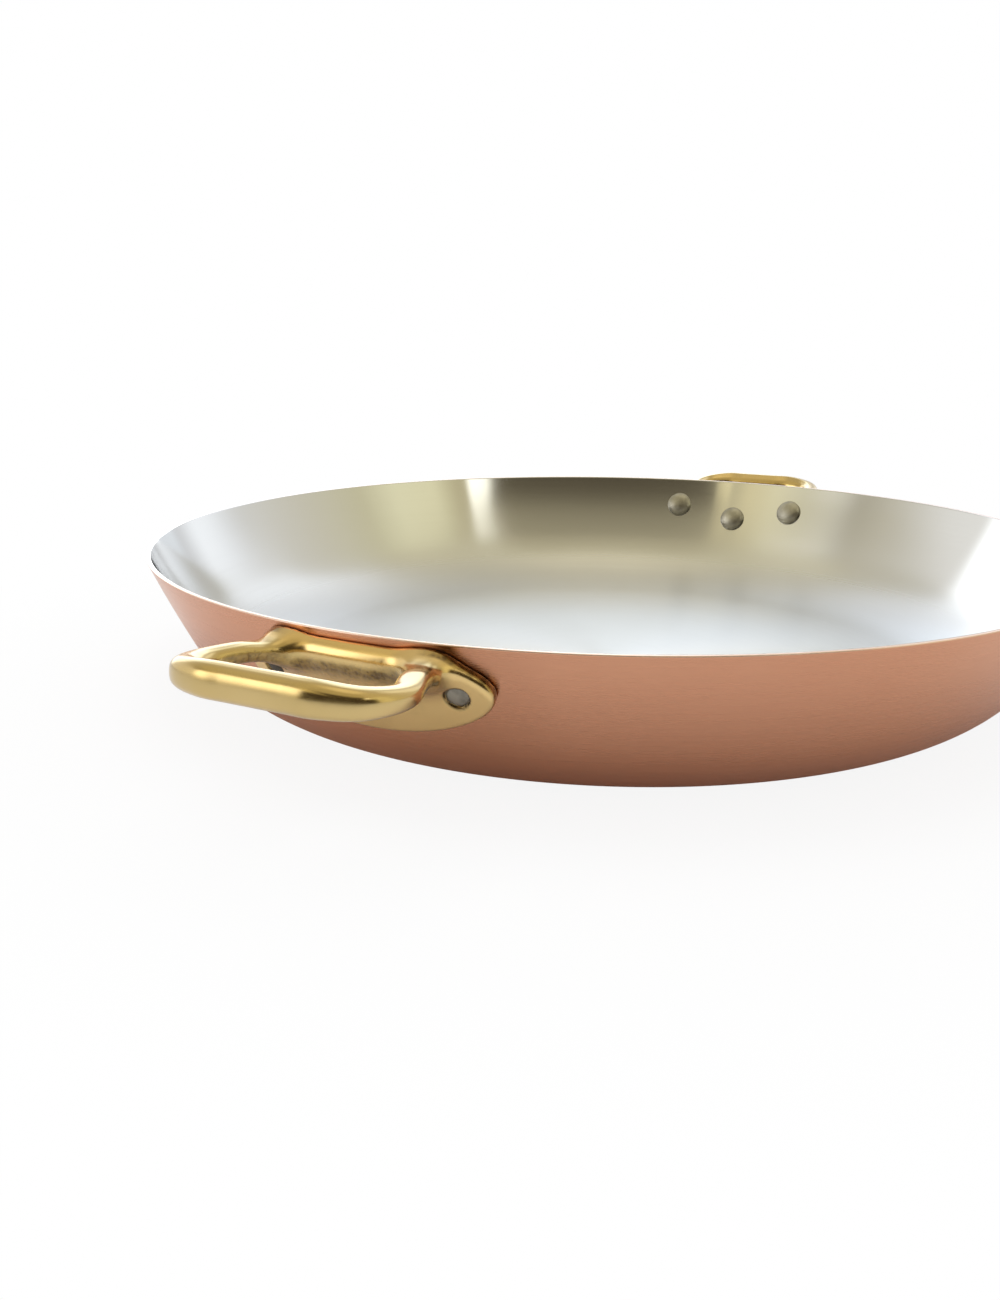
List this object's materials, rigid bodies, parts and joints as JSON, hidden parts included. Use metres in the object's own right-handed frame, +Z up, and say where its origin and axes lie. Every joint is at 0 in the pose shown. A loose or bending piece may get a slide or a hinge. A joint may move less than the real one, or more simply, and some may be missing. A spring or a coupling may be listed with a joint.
{
  "type": "paella pan",
  "caption": "Shallow round paella pan of brushed copper with a bonded stainless lining and riveted cast brass loop handles; stands open on a flat base for cooking on a hob.",
  "frame": {"origin": "centre of the base's underside, on the surface the pan stands on", "axes": "+Z up; X runs through both handles; -Y is the front"},
  "size_m": [0.4334, 0.35, 0.0525],
  "materials": {
    "copper": "brushed copper, horizontal grain",
    "lining_steel": "satin stainless steel",
    "handle_brass": "polished cast brass, rough and dark in the recess behind the loop",
    "rivet_steel": "plain stainless steel"
  },
  "bodies": {
    "root": {"copper_shell": "copper", "steel_lining": "lining_steel", "handle_left": "handle_brass", "handle_right": "handle_brass", "rivet_left_front": "rivet_steel", "rivet_left_back": "rivet_steel", "rivet_left_lower": "rivet_steel", "rivet_right_front": "rivet_steel", "rivet_right_back": "rivet_steel", "rivet_right_lower": "rivet_steel"}
  },
  "joints": []
}
